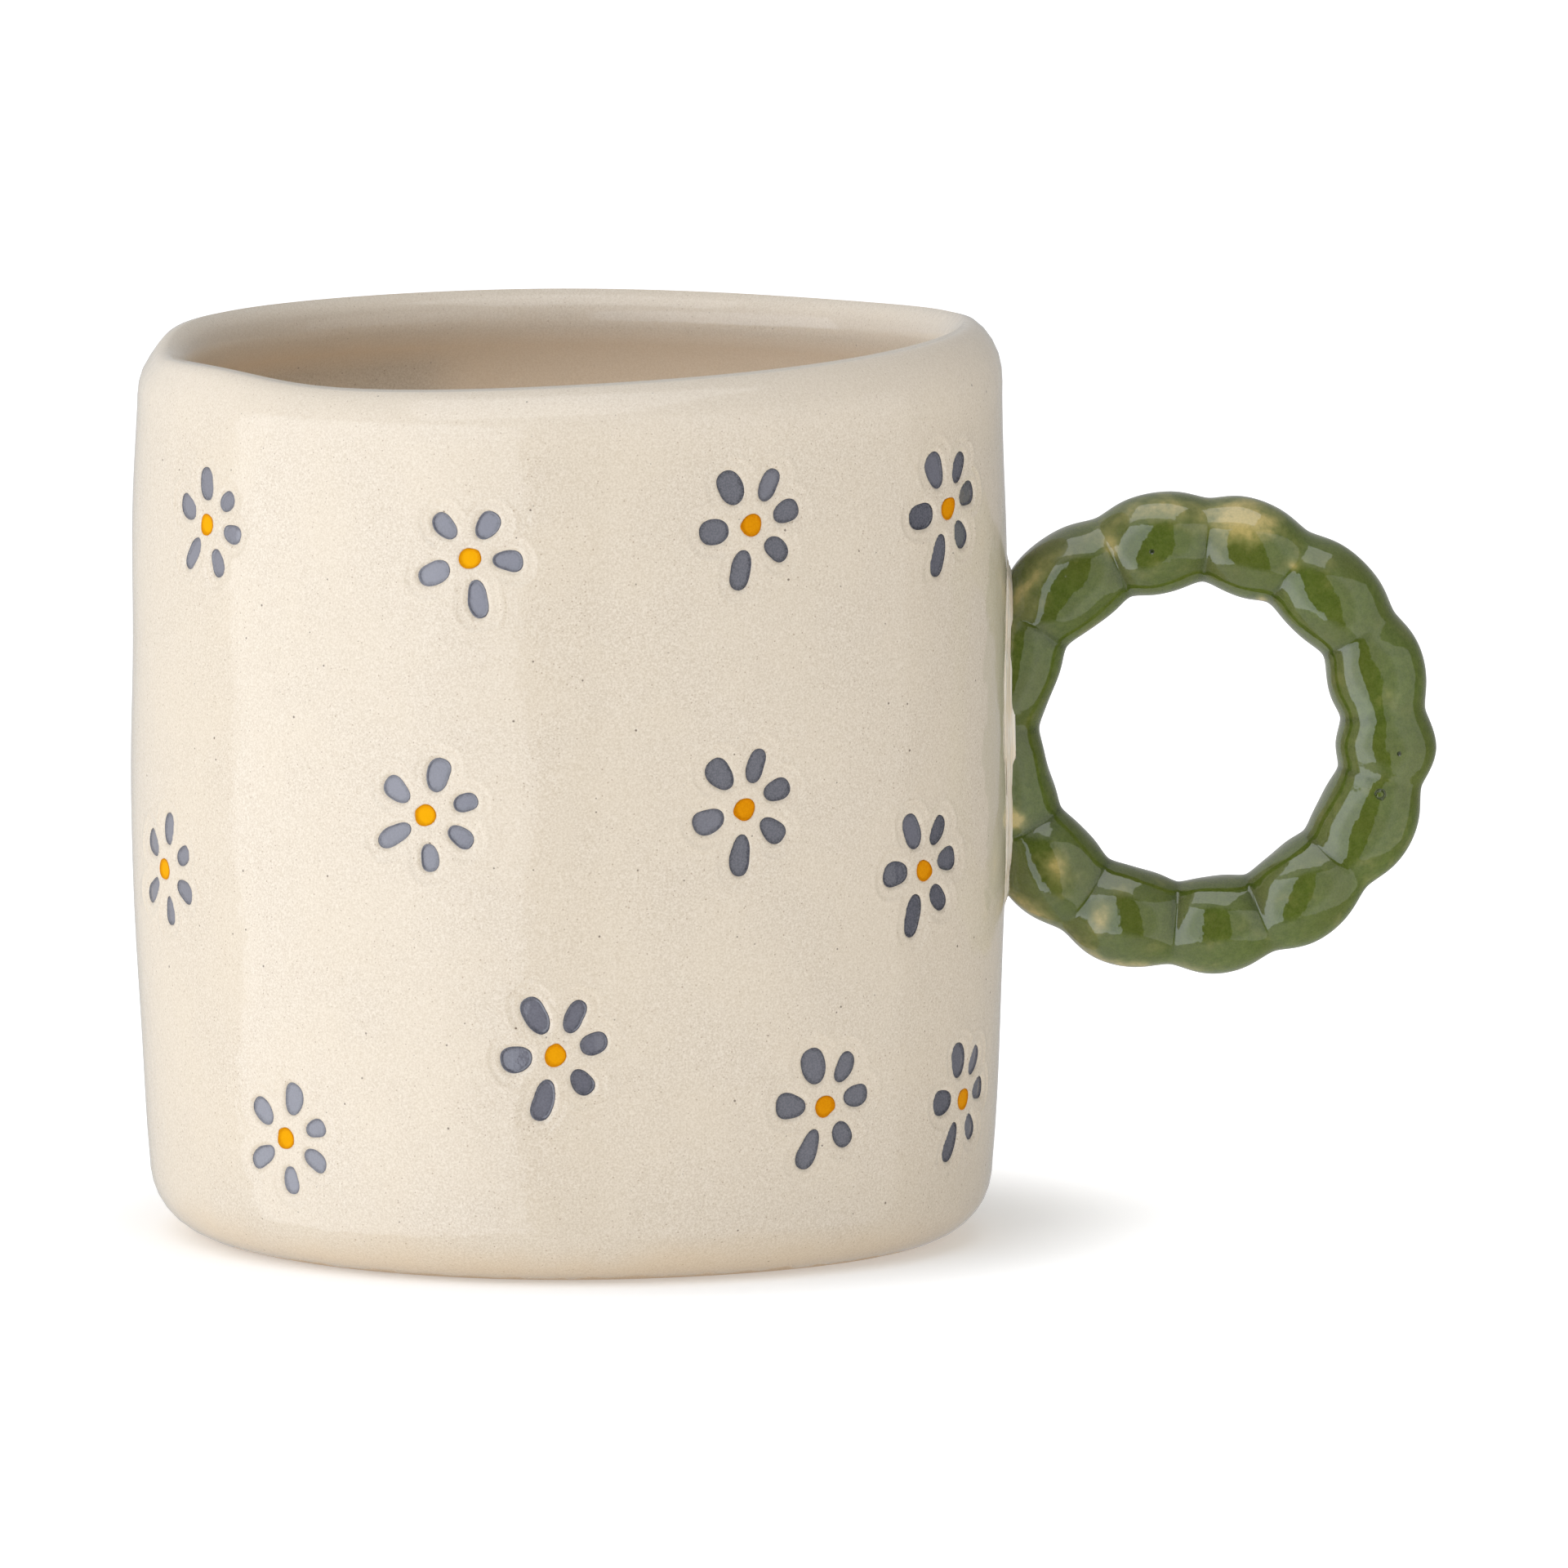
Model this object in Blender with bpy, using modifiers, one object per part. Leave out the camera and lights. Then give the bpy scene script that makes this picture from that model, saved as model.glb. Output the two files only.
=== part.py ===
"""Stoneware mug with a beaded ring handle and flowers stamped into its wall.

Blender 4.5, metres, +Z up. The origin is the centre of the flat foot, the mug's axis is Z and the
handle stands out along +X. Run with: blender --background --python part.py

The mug is a turned shell that is then settled into its slightly uneven, hand-made form. The handle
is one moulded ring of beads, cut to the curve of the wall and stuck on with a pad of luting slip.
Each flower is a shallow pocket in the wall that holds a rosette of petals round a yellow centre.
"""

import math

import bmesh
import bpy
from mathutils import Matrix, Vector

MM = 0.001
GAP = 0.3 * MM  # between pieces that lie face to face

# Body
BELLY_RADIUS = 42.5 * MM
BELLY_HEIGHT = 55.0 * MM
FOOT_RADIUS = 34.2 * MM
FOOT_CORNER = 6.9 * MM
FOOT_TAPER = 2.1 * MM  # how much narrower than the belly the wall would be at the table
NECK_TAPER = 0.35 * MM
RIM_HEIGHT = 87.3 * MM
CREST_RADIUS = 37.9 * MM
OUTER_LIP_DROP = 6.0 * MM  # from the crest of the rim to the wall outside it
INNER_LIP_DROP = 4.2 * MM
INNER_LIP_RADIUS = 36.4 * MM
INNER_RADIUS = 37.5 * MM
INNER_CORNER = 9.0 * MM
FLOOR_THICKNESS = 6.5 * MM
BODY_SEGMENTS = 64
CORNER_STEPS = 5
WALL_STEPS = 9

# Hand-made unevenness: (waves per turn, size, where the wave is highest in degrees)
RIM_WAVES = ((1, 1.6 * MM, 52), (2, 0.7 * MM, -25), (4, 0.2 * MM, -3))
PLAN_WAVES = ((2, 0.8 * MM, -44), (3, 0.2 * MM, -15), (4, 0.3 * MM, -36), (5, 0.3 * MM, -21))
RIM_WAVES_START = 20.0 * MM  # below this height the rim's waves have died out

# Ring handle
RING_CENTRE_X = 60.4 * MM
RING_CENTRE_Z = 48.35 * MM
RING_RADIUS = 18.9 * MM
BEAD_RADIUS = 5.0 * MM
GROOVE_RADIUS = 4.1 * MM
GROOVES = (6, 31, 60, 86, 114, 145, 178, 210, 237, 265, 291, 319, 347)  # degrees round from +X
POINTS_PER_BEAD = 6

# Pad of luting slip between the wall and the ring
LUTE_THICKNESS = 0.9 * MM
LUTE_WIDTH = 14.0 * MM
LUTE_HEIGHT = 36.0 * MM

# Flowers
INLAY_SINK = 0.15 * MM  # from the face of the wall down to the colour
INLAY_THICKNESS = 0.5 * MM
CENTRE_RADIUS = 1.05 * MM
CENTRE_SIDES = 10
VALLEY_RADIUS = 2.0 * MM  # from the flower's middle to the dip between two petals

# Three hand-cut stamps. A petal is (direction in degrees, reach of its middle, length, width).
STAMPS = {
    "broad": (
        (20, 3.8, 2.9, 2.3),
        (68, 4.2, 3.3, 2.0),
        (120, 4.2, 3.7, 2.6),
        (188, 3.8, 3.4, 2.8),
        (258, 4.4, 4.1, 2.2),
        (319, 3.7, 2.9, 2.2),
    ),
    "slim": (
        (20, 4.1, 2.5, 2.0),
        (74, 4.1, 3.3, 2.4),
        (141, 3.8, 3.2, 2.4),
        (212, 4.0, 3.9, 2.0),
        (276, 4.1, 2.8, 2.0),
        (332, 4.1, 2.9, 2.1),
    ),
    "five": (
        (64, 3.7, 3.1, 2.2),
        (127, 4.1, 3.1, 2.1),
        (202, 3.8, 3.2, 2.5),
        (279, 4.1, 3.9, 2.1),
        (357, 3.7, 3.0, 2.2),
    ),
}

# (stamp, degrees round from the handle, height in mm, turn in degrees), row by row from the top
FLOWERS = (
    ("broad", 24, 71.0, 15),
    ("slim", 62, 69.5, -20),
    ("broad", 101, 72.0, 10),
    ("slim", 139, 70.0, 30),
    ("five", 170, 72.5, -15),
    ("slim", 215, 72.4, 20),
    ("five", 258, 70.8, 0),
    ("broad", 295, 73.0, -3),
    ("broad", 327.2, 72.2, -5),
    ("slim", 37, 39.0, 15),
    ("broad", 78, 45.0, -10),
    ("five", 120, 38.5, 25),
    ("broad", 162, 44.0, -20),
    ("slim", 204, 37.3, 3),
    ("slim", 252, 45.5, 0),
    ("broad", 294, 45.7, 6),
    ("broad", 322.4, 38.2, -8),
    ("slim", 12, 14.0, 10),
    ("broad", 52, 20.0, 5),
    ("slim", 93, 14.5, -30),
    ("five", 138, 19.0, 15),
    ("broad", 170, 15.0, 25),
    ("slim", 229.2, 13.05, 0),
    ("broad", 269, 22.5, -3),
    ("broad", 306, 16.6, -10),
    ("broad", 333, 15.2, -12),
)


def wave_sum(waves, azimuth):
    return sum(size * math.cos(n * (azimuth - math.radians(peak))) for n, size, peak in waves)


def settled(x, y, z):
    """Where a point of the true turned form lies on the uneven, hand-made one."""
    azimuth = math.atan2(y, x)
    swell = 1 + wave_sum(PLAN_WAVES, azimuth) / BELLY_RADIUS
    fade = max(0.0, (z - RIM_WAVES_START) / (RIM_HEIGHT - RIM_WAVES_START)) ** 2
    return Vector((x * swell, y * swell, z + fade * wave_sum(RIM_WAVES, azimuth)))


def outer_radius(z):
    """Radius of the wall's outside, between the foot's corner and the lip."""
    if z < BELLY_HEIGHT:
        return BELLY_RADIUS - FOOT_TAPER * ((BELLY_HEIGHT - z) / BELLY_HEIGHT) ** 3
    neck = RIM_HEIGHT - OUTER_LIP_DROP - BELLY_HEIGHT
    return BELLY_RADIUS - NECK_TAPER * ((z - BELLY_HEIGHT) / neck) ** 2


def wall_point(azimuth, height, proud):
    """A point that stands proud of the wall's outside, or is sunk in it where proud is negative."""
    radius = outer_radius(height) + proud
    return settled(radius * math.cos(azimuth), radius * math.sin(azimuth), height)


def quarter(centre, radii, start, steps):
    """Points on a quarter of an ellipse, clockwise from start degrees."""
    angles = [math.radians(start - 90 * i / steps) for i in range(steps + 1)]
    return [(centre[0] + radii[0] * math.cos(a), centre[1] + radii[1] * math.sin(a)) for a in angles]


def outside_profile(proud=0.0):
    """(radius, height) down the outside, from the crest of the rim to the edge of the foot."""
    top = RIM_HEIGHT - OUTER_LIP_DROP
    lip_width = outer_radius(top) - CREST_RADIUS
    lip = quarter((CREST_RADIUS, top), (lip_width + proud, OUTER_LIP_DROP), 90, CORNER_STEPS)
    heights = [top + (FOOT_CORNER - top) * i / WALL_STEPS for i in range(1, WALL_STEPS)]
    wall = [(outer_radius(z) + proud, z) for z in heights]
    corner_width = outer_radius(FOOT_CORNER) - FOOT_RADIUS
    corner = quarter((FOOT_RADIUS, FOOT_CORNER), (corner_width + proud, FOOT_CORNER), 0, CORNER_STEPS)
    return lip + wall + corner


def inside_profile():
    """(radius, height) from the middle of the inner floor up to just short of the crest."""
    corner_centre = (INNER_RADIUS - INNER_CORNER, FLOOR_THICKNESS + INNER_CORNER)
    corner = quarter(corner_centre, (INNER_CORNER, INNER_CORNER), 0, CORNER_STEPS)
    lip_base = RIM_HEIGHT - INNER_LIP_DROP
    lip_width = CREST_RADIUS - INNER_LIP_RADIUS
    lip = quarter((CREST_RADIUS, lip_base), (lip_width, INNER_LIP_DROP), 180, CORNER_STEPS)[:-1]
    undercut = [(INNER_RADIUS, RIM_HEIGHT - 5 * INNER_LIP_DROP), (INNER_RADIUS, lip_base - INNER_LIP_DROP)]
    return [(0.0, FLOOR_THICKNESS)] + corner[::-1] + undercut + lip


def link(obj, collection):
    collection.objects.link(obj)
    return obj


def material(name, colour, roughness):
    made = bpy.data.materials.new(name)
    made.use_nodes = True
    shader = made.node_tree.nodes["Principled BSDF"]
    shader.inputs["Base Color"].default_value = (*colour, 1)
    shader.inputs["Roughness"].default_value = roughness
    shader.inputs["Metallic"].default_value = 0.0
    return made


def mesh_of(obj, matrix=None):
    """The object as its modifiers leave it, as one welded mesh. The object itself is removed."""
    bpy.context.view_layer.update()
    graph = bpy.context.evaluated_depsgraph_get()
    mesh = bpy.data.meshes.new_from_object(obj.evaluated_get(graph))
    mesh.transform(matrix or obj.matrix_world)
    work = bmesh.new()
    work.from_mesh(mesh)
    bmesh.ops.remove_doubles(work, verts=work.verts, dist=0.01 * MM)
    bmesh.ops.recalc_face_normals(work, faces=work.faces)
    work.to_mesh(mesh)
    work.free()
    bpy.data.objects.remove(obj)
    return mesh


def turned(name, profile, collection):
    """A solid of revolution round Z from (radius, height) points, settled into its uneven form."""
    mesh = bpy.data.meshes.new(name)
    edges = [(i, i + 1) for i in range(len(profile) - 1)]
    mesh.from_pydata([(r, 0.0, z) for r, z in profile], edges, [])
    obj = link(bpy.data.objects.new(name, mesh), collection)
    screw = obj.modifiers.new("turn", "SCREW")
    screw.steps = BODY_SEGMENTS
    screw.render_steps = BODY_SEGMENTS
    screw.use_merge_vertices = True
    screw.merge_threshold = 0.01 * MM
    solid = mesh_of(obj)
    for vertex in solid.vertices:
        vertex.co = settled(*vertex.co)
    return link(bpy.data.objects.new(name, solid), collection)


def boolean(obj, operation, other):
    cut = obj.modifiers.new(operation.lower() + " " + other.name, "BOOLEAN")
    cut.operation = operation
    cut.object = other


def helper(obj):
    obj.hide_render = True
    obj.display_type = "WIRE"
    return obj


def shade(obj, made, smooth_degrees=35):
    obj.data.materials.clear()
    obj.data.materials.append(made)
    obj.data.shade_smooth()
    obj.data.set_sharp_from_angle(angle=math.radians(smooth_degrees))


def outline_prism(name, outlines, low, high, collection):
    """Closed outlines in the XY plane, the first one filled and the others cut out of it, made solid
    from z = low to z = high."""
    curve = bpy.data.curves.new(name, "CURVE")
    curve.dimensions = "2D"
    curve.fill_mode = "BOTH"
    curve.extrude = (high - low) / 2
    for outline in outlines:
        spline = curve.splines.new("POLY")
        spline.points.add(len(outline) - 1)
        spline.use_cyclic_u = True
        for point, (x, y) in zip(spline.points, outline):
            point.co = (x, y, 0, 1)
    obj = link(bpy.data.objects.new(name, curve), collection)
    return mesh_of(obj, Matrix.Translation((0, 0, (low + high) / 2)))


def stadium(width, height, steps=8):
    """Outline of a tall slot with round ends."""
    radius = width / 2
    rise = height / 2 - radius
    upper = [(math.pi * i / steps, rise) for i in range(steps + 1)]
    lower = [(math.pi + math.pi * i / steps, -rise) for i in range(steps + 1)]
    return [(radius * math.cos(a), lift + radius * math.sin(a)) for a, lift in upper + lower]


def circle(radius, sides):
    angles = [2 * math.pi * i / sides for i in range(sides)]
    return [(radius * math.cos(a), radius * math.sin(a)) for a in angles]


def rosette(petals, turn, grow=0.0):
    """Outline of all the petals of one flower, joined where they meet in the middle."""
    outline = []
    for i, (direction, reach, length, width) in enumerate(petals):
        along = math.radians(direction + turn)
        half_width = width * MM / 2 + grow
        tip = (reach + length / 2) * MM + grow
        shoulder = reach * MM
        for out, side in ((shoulder, -1), (tip, -0.45), (tip, 0.45), (shoulder, 1)):
            x = out * math.cos(along) - side * half_width * math.sin(along)
            y = out * math.sin(along) + side * half_width * math.cos(along)
            outline.append((x, y))
        following = petals[(i + 1) % len(petals)][0] + (360 if i == len(petals) - 1 else 0)
        valley = math.radians((direction + following) / 2 + turn)
        dip = VALLEY_RADIUS + grow
        outline.append((dip * math.cos(valley), dip * math.sin(valley)))
    return outline


def wrapped(mesh, azimuth, height):
    """Bends a flat mesh round the wall: x runs round it, y up it and z out of it."""
    for vertex in mesh.vertices:
        across, up, proud = vertex.co
        vertex.co = wall_point(azimuth + across / BELLY_RADIUS, height + up, proud)
    return mesh


def add_flower(number, stamp, degrees, height, turn, collection, cutters, finishes):
    """The petals and centre of one flower. Returns the cutter for its pocket."""
    azimuth = math.radians(degrees)
    petals = STAMPS[stamp]
    top = -INLAY_SINK
    bottom = top - INLAY_THICKNESS
    name = f"flower_{number:02d}"
    hole = circle(CENTRE_RADIUS + GAP, CENTRE_SIDES)
    shapes = {
        "petals": [rosette(petals, turn), hole],
        "centre": [circle(CENTRE_RADIUS, CENTRE_SIDES)],
    }
    for kind, outlines in shapes.items():
        inlay = outline_prism(f"{name}_{kind}", outlines, bottom, top, collection)
        wrapped(inlay, azimuth, height * MM)
        shade(link(bpy.data.objects.new(f"{name}_{kind}", inlay), collection), finishes[kind])
    pocket = outline_prism(f"{name}_pocket", [rosette(petals, turn, GAP)], bottom - GAP, MM, cutters)
    wrapped(pocket, azimuth, height * MM)
    return helper(link(bpy.data.objects.new(f"{name}_pocket", pocket), cutters))


def add_body(collection, finish):
    profile = inside_profile() + outside_profile() + [(0.0, 0.0)]
    body = turned("mug_body", profile, collection)
    shade(body, finish)
    return body


def add_handle(collection, cutters, finish):
    """The moulded ring of beads: a closed tube whose thickness swells at each bead."""
    curve = bpy.data.curves.new("ring", "CURVE")
    curve.dimensions = "3D"
    curve.bevel_depth = BEAD_RADIUS
    curve.bevel_resolution = 3
    spline = curve.splines.new("POLY")
    spline.points.add(len(GROOVES) * POINTS_PER_BEAD - 1)
    spline.use_cyclic_u = True
    ends = GROOVES[1:] + (GROOVES[0] + 360,)
    for i, point in enumerate(spline.points):
        bead, step = divmod(i, POINTS_PER_BEAD)
        along_bead = step / POINTS_PER_BEAD
        angle = math.radians(GROOVES[bead] + (ends[bead] - GROOVES[bead]) * along_bead)
        swell = math.sin(math.pi * along_bead) ** 0.8
        radius = GROOVE_RADIUS + (BEAD_RADIUS - GROOVE_RADIUS) * swell
        point.co = (RING_RADIUS * math.cos(angle), 0, RING_RADIUS * math.sin(angle), 1)
        point.radius = radius / BEAD_RADIUS
    ring = link(bpy.data.objects.new("ring", curve), collection)
    ring.location = (RING_CENTRE_X, 0, RING_CENTRE_Z)
    bpy.context.view_layer.update()
    handle = link(bpy.data.objects.new("ring_handle", mesh_of(ring)), collection)
    wall = turned("wall_behind_ring", [(0.0, RIM_HEIGHT)] + outside_profile(2 * GAP + LUTE_THICKNESS)
                  + [(0.0, 0.0)], cutters)
    boolean(handle, "DIFFERENCE", helper(wall))
    shade(handle, finish, 50)
    return handle


def add_lute(collection, cutters, finish):
    """The pad of slip that sticks the ring to the wall, following the wall's curve."""
    flat = outline_prism("pad", [stadium(LUTE_WIDTH, LUTE_HEIGHT)], 0.7 * BELLY_RADIUS,
                         1.2 * BELLY_RADIUS, collection)
    upright = Matrix(((0, 0, 1, 0), (1, 0, 0, 0), (0, 1, 0, RING_CENTRE_Z), (0, 0, 0, 1)))
    flat.transform(upright)
    pad = link(bpy.data.objects.new("handle_lute", flat), collection)
    for name, operation, proud in (
        ("face_of_lute", "INTERSECT", GAP + LUTE_THICKNESS),
        ("wall_behind_lute", "DIFFERENCE", GAP),
    ):
        solid = turned(name, [(0.0, RIM_HEIGHT)] + outside_profile(proud) + [(0.0, 0.0)], cutters)
        boolean(pad, operation, helper(solid))
    shade(pad, finish)
    return pad


def joined_pockets(pockets, cutters):
    """All the pockets as one cutter. They don't touch each other."""
    mesh = bpy.data.meshes.new("flower_pockets")
    work = bmesh.new()
    for pocket in pockets:
        work.from_mesh(pocket.data)
        bpy.data.objects.remove(pocket)
    work.to_mesh(mesh)
    work.free()
    return helper(link(bpy.data.objects.new("flower_pockets", mesh), cutters))


def main():
    for obj in list(bpy.data.objects):
        bpy.data.objects.remove(obj)
    mug = bpy.data.collections.new("stoneware_mug")
    cutters = bpy.data.collections.new("cutters")
    for collection in (mug, cutters):
        bpy.context.scene.collection.children.link(collection)
    cream = material("cream_glazed_stoneware", (0.78, 0.70, 0.59), 0.25)
    slip = material("luting_slip", (0.66, 0.55, 0.42), 0.35)
    green = material("green_glaze", (0.10, 0.18, 0.035), 0.15)
    finishes = {
        "petals": material("blue_grey_underglaze", (0.13, 0.15, 0.20), 0.3),
        "centre": material("yellow_underglaze", (0.85, 0.45, 0.01), 0.3),
    }
    body = add_body(mug, cream)
    add_handle(mug, cutters, green)
    add_lute(mug, cutters, slip)
    pockets = [
        add_flower(number, *flower, mug, cutters, finishes)
        for number, flower in enumerate(FLOWERS, start=1)
    ]
    boolean(body, "DIFFERENCE", joined_pockets(pockets, cutters))


main()
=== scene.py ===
"""Looks for the stoneware mug: a glossy cream mug with inlaid flowers and a beaded green ring handle."""

import math

import bmesh
import bpy
import numpy as np
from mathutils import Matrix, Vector


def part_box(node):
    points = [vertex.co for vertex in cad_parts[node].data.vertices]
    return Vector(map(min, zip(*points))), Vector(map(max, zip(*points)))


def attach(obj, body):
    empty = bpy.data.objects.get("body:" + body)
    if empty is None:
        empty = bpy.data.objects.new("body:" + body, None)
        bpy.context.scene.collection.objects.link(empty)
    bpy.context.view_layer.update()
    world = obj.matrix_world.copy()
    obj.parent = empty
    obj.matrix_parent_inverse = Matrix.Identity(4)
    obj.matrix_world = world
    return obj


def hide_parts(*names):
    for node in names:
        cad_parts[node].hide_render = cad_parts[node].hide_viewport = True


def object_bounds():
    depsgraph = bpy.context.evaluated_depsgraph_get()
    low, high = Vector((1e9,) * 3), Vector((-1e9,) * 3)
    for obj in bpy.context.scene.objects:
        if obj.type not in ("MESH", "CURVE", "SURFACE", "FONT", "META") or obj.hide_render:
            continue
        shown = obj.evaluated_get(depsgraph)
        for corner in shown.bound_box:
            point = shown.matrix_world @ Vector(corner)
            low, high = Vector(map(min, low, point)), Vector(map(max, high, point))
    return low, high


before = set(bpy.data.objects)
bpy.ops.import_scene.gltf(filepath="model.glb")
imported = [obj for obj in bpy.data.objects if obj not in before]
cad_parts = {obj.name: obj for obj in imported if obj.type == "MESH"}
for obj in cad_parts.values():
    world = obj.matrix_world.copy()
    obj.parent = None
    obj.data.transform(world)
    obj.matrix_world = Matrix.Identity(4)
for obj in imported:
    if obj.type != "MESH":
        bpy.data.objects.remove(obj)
CAD_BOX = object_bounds()

MM = 0.001

# ---------------------------------------------------------------- the mug's form, as in the CAD
BELLY_RADIUS = 42.5
BELLY_HEIGHT = 55.0
FOOT_RADIUS = 34.2
FOOT_CORNER = 6.9
FOOT_TAPER = 2.1
NECK_TAPER = 0.35
RIM_HEIGHT = 87.3
CREST_RADIUS = 37.9
OUTER_LIP_DROP = 6.0
INNER_LIP_DROP = 4.2
INNER_LIP_RADIUS = 36.4
INNER_RADIUS = 37.5
INNER_CORNER = 9.0
FLOOR_THICKNESS = 6.5
RIM_WAVES = ((1, 1.6, 52), (2, 0.7, -25), (4, 0.2, -3))
PLAN_WAVES = ((2, 0.8, -44), (3, 0.2, -15), (4, 0.3, -36), (5, 0.3, -21))
RIM_WAVES_START = 20.0
LIP_BASE = RIM_HEIGHT - OUTER_LIP_DROP

# ring handle
RING_X, RING_Z, RING_RADIUS = 60.4, 48.35, 18.9
GROOVES = (6, 31, 60, 86, 114, 145, 178, 210, 237, 265, 291, 319, 347)
# how hard each groove is pinched on the ring's faces, 0 to 1
PINCH = (0.05, 0.35, 0.25, 0.6, 0.8, 0.5, 0.15, 0.6, 0.45, 0.9, 0.9, 0.35, 0.15)
# where the green glaze runs thin: (degrees round the ring, side, length, width, strength), where side is
# 1 on the outermost line of the ring and -1 on the innermost
THIN = (
    (76, 0.55, 3.4, 2.0, 1.0), (99, 0.72, 4.5, 1.0, 0.65), (113, 0.25, 0.8, 1.4, 0.8),
    (136, 0.62, 3.2, 0.8, 0.85), (152, 0.55, 1.7, 1.6, 0.9), (222, -0.15, 1.5, 1.7, 0.75),
    (226, 0.85, 2.4, 0.8, 0.9), (243, 0.1, 1.0, 1.9, 0.8), (255, 0.95, 3.8, 0.9, 0.8),
    (60, 0.1, 0.5, 0.5, 0.7), (196, 0.2, 2.5, 1.5, 0.5), (63, -0.95, 0.8, 0.6, 0.8),
    (330, 0.9, 2.0, 0.8, 0.3), (205, 0.0, 0.9, 1.0, 1.3),
)
# flaws in the glaze on the ring's -Y face: (degrees, radius, size, whether it is a curl or else a pinhole)
PITS = (
    (102.3, 18.6, 0.28, False), (-4.3, 20.1, 0.30, False), (33.1, 21.8, 0.85, True),
    (31.0, 20.6, 0.30, False), (-16.5, 19.0, 0.55, True), (-38.1, 16.8, 0.45, True),
    (128.0, 20.0, 0.22, False), (214.0, 17.9, 0.20, False),
)
PIT_FACE_Y = -4.6
SECTION_POWER = 2.35  # a section a little squarer than a circle, which is 2
SECTION_RADIUS = 4.95
SECTION_FLATTENING = 0.96  # of the ring's thickness along Y
VALLEY_WIDTH = 2.0
CREASE_DEPTH = 0.60
RING_INSET = 0.12  # keeps the uneven ring inside the CAD's
GLAZE_CLEARANCE = 0.45  # the ring stays this far off the wall

# flowers: a petal is (direction, reach of its middle, length, width), in degrees and mm
STAMPS = {
    "broad": (
        (20, 3.8, 2.9, 2.3),
        (68, 4.2, 3.3, 2.0),
        (120, 4.2, 3.7, 2.6),
        (188, 3.8, 3.3, 2.6),
        (258, 4.4, 4.1, 2.2),
        (319, 3.7, 2.9, 2.2),
    ),
    "slim": (
        (20, 4.1, 2.5, 2.0),
        (74, 4.1, 3.3, 2.4),
        (141, 3.8, 3.2, 2.4),
        (212, 4.0, 3.9, 2.0),
        (276, 4.1, 2.8, 2.0),
        (332, 4.1, 2.9, 2.1),
    ),
    "five": (
        (64, 3.7, 3.1, 2.2),
        (127, 4.1, 3.1, 2.1),
        (202, 3.8, 3.2, 2.5),
        (279, 4.1, 3.9, 2.1),
        (357, 3.7, 3.0, 2.2),
    ),
}
# (stamp, turn in degrees, how thin its paint is), in the order of the CAD's nodes
FLOWERS = (
    ("broad", 15, 0.3), ("slim", -20, 0.6), ("broad", 10, 0.2), ("slim", 30, 0.7), ("five", -15, 0.5),
    ("slim", 20, 0.85), ("five", 0, 0.85), ("broad", -3, 0.1), ("broad", -5, 0.1), ("slim", 15, 0.4),
    ("broad", -10, 0.6), ("five", 25, 0.3), ("broad", -20, 0.7), ("slim", 3, 0.75), ("slim", 0, 0.85),
    ("broad", 6, 0.05), ("broad", -8, 0.1), ("slim", 10, 0.5), ("broad", 5, 0.3), ("slim", -30, 0.6),
    ("five", 15, 0.4), ("broad", 25, 0.6), ("slim", 0, 0.7), ("broad", -3, 0.45), ("broad", -10, 0.1),
    ("broad", -12, 0.2),
)
CENTRE_RADIUS = 1.05
MIDDLE_RADIUS = 2.0  # of the stamp's middle, between the petals
FLOWER_REACH = 7.5  # nothing of a flower lies further from its middle
RECESS = 0.36  # depth of a petal's pocket
CENTRE_RECESS = 0.2
BLUNT = 2.3  # how square a petal's ends are; 2 is an ellipse
HALO = 1.15  # from a petal's outline to the edge that the stamp left round it
HALO_STEP = 0.06
HALO_RIDGE = 0.06

WALL_INSET = 0.12  # keeps the dented wall inside the CAD's
MID_WALL_RADIUS = 39.5  # between the wall's two faces
BLEED_ANGLE = 25  # degrees round from the handle, and heights, within which its glaze has run
BLEED_LOW = 30
BLEED_HIGH = 72


def wave_sum(waves, azimuth):
    return sum(size * np.cos(n * (azimuth - math.radians(peak))) for n, size, peak in waves)


def settled(azimuth, radius, z):
    """Points (mm) of the uneven, hand-made form for points of the true turned one."""
    r = radius * (1 + wave_sum(PLAN_WAVES, azimuth) / BELLY_RADIUS)
    fade = np.clip((z - RIM_WAVES_START) / (RIM_HEIGHT - RIM_WAVES_START), 0, None) ** 2
    lift = fade * wave_sum(RIM_WAVES, azimuth)
    return np.stack([r * np.cos(azimuth), r * np.sin(azimuth), z + lift], axis=-1)


def outer_radius(z):
    low = BELLY_RADIUS - FOOT_TAPER * np.clip((BELLY_HEIGHT - z) / BELLY_HEIGHT, 0, None) ** 3
    high = NECK_TAPER * np.clip((z - BELLY_HEIGHT) / (LIP_BASE - BELLY_HEIGHT), 0, None) ** 2
    return low - high


# slow dents and swellings of a hand-worked wall
dents = np.random.default_rng(7)
# (waves per turn, slant in radians per mm, phase, size)
DENTS = [
    (
        int(dents.integers(3, 12)),
        dents.uniform(-0.30, 0.30),
        dents.uniform(0, 2 * math.pi),
        dents.uniform(0.4, 1.0),
    )
    for _ in range(14)
]


def wall_dents(azimuth, z):
    total = np.zeros_like(azimuth)
    for waves, slant, phase, size in DENTS:
        total = total + size * np.cos(waves * azimuth + slant * z + phase) / (1 + 0.12 * waves)
    # fullest at mid height, opposite the handle
    belly = bell(z - 42, 24) * (0.5 - 0.5 * np.cos(azimuth)) ** 3
    return 0.075 * total + 0.42 * belly


def wrapped(angle):
    """An angle in radians brought to -pi to pi."""
    return (angle + math.pi) % (2 * math.pi) - math.pi


def degrees_from(angle, direction):
    """How far an angle in degrees is from a direction, -180 to 180."""
    return (angle - direction + 180) % 360 - 180


def bell(distance, width):
    return np.exp(-((distance / width) ** 2))


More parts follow.
